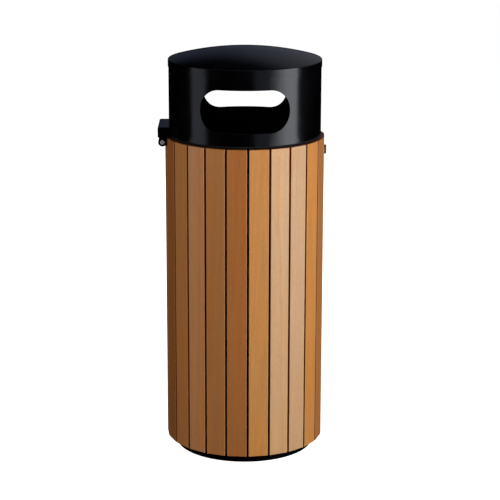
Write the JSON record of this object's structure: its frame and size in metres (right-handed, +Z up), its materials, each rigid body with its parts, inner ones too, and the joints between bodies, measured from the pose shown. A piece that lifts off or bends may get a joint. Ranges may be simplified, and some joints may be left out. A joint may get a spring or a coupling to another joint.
{
  "type": "litter bin",
  "caption": "Round street litter bin clad in vertical timber slats, with a hinged black steel hood open front and rear, a cam lock and a lift-out galvanised liner.",
  "frame": {"origin": "centre of the flat underside of the base plate, on the bin's vertical axis", "axes": "+Z up, -Y towards the front aperture, hinge on -X, lock on +X"},
  "size_m": [0.4775, 0.4536, 1.1655],
  "materials": {
    "timber": "satin wood stain over planed hardwood with fine vertical grain",
    "black_coat": "satin black powder coat",
    "frame_coat": "matt black powder coat",
    "zinc": "bright zinc plate",
    "galvanised": "hot-dip galvanised sheet with faint spangle",
    "lock_metal": "blackened bronze-brown metal",
    "rubber": "matt black sealing strip"
  },
  "bodies": {
    "frame": {"base_plate": "frame_coat", "plinth_band": "black_coat", "hoop_bottom": "frame_coat", "hoop_lower": "frame_coat", "hoop_upper": "frame_coat", "hoop_top": "frame_coat", "upright_1": "frame_coat", "upright_2": "frame_coat", "upright_3": "frame_coat", "upright_4": "frame_coat", "slat_01": "timber", "slat_02": "timber", "slat_03": "timber", "slat_04": "timber", "slat_05": "timber", "slat_06": "timber", "slat_07": "timber", "slat_08": "timber", "slat_09": "timber", "slat_10": "timber", "slat_11": "timber", "slat_12": "timber", "slat_13": "timber", "slat_14": "timber", "slat_15": "timber", "slat_16": "timber", "slat_17": "timber", "slat_18": "timber", "slat_19": "timber", "slat_20": "timber", "slat_21": "timber", "slat_22": "timber", "slat_23": "timber", "landing_ring": "frame_coat", "landing_gasket": "rubber", "hinge_bracket": "black_coat", "hinge_pin": "zinc", "lock_housing": "lock_metal", "lock_nut": "zinc"},
    "hood": {"hood_shell": "black_coat", "hood_stiffener": "black_coat", "dome_cap": "black_coat", "hinge_block": "black_coat", "hinge_bolt_front": "zinc", "hinge_bolt_rear": "zinc", "lock_keeper": "black_coat"},
    "lock_core": {"lock_plug": "lock_metal", "lock_cam": "zinc", "cam_screw": "zinc"},
    "liner": {"liner_shell": "galvanised", "liner_rim_band": "galvanised", "handle_clip_front_left": "galvanised", "handle_clip_front_right": "galvanised", "handle_clip_rear_left": "galvanised", "handle_clip_rear_right": "galvanised"},
    "front_handle": {"handle_front": "galvanised"},
    "rear_handle": {"handle_rear": "galvanised"}
  },
  "joints": [
    {"name": "hood_hinge", "type": "hinge", "parent": "frame", "child": "hood", "pos_m": [-0.2322, 0, 0.907], "axis": [0, -1, 0], "range_deg": [0, 105]},
    {"name": "lock_turn", "type": "hinge", "parent": "frame", "child": "lock_core", "pos_m": [0.19992, -0.00563, 0.877], "axis": [-0.9996, 0.0281, 0], "range_deg": [0, 90]},
    {"name": "liner_lift", "type": "slide", "parent": "frame", "child": "liner", "axis": [0, 0, 1], "range_m": [0, 0.24]},
    {"name": "front_handle_swing", "type": "hinge", "parent": "liner", "child": "front_handle", "pos_m": [0, -0.156, 0.821], "axis": [1, 0, 0], "range_deg": [0, 170]},
    {"name": "rear_handle_swing", "type": "hinge", "parent": "liner", "child": "rear_handle", "pos_m": [0, 0.156, 0.821], "axis": [-1, 0, 0], "range_deg": [0, 170]}
  ]
}
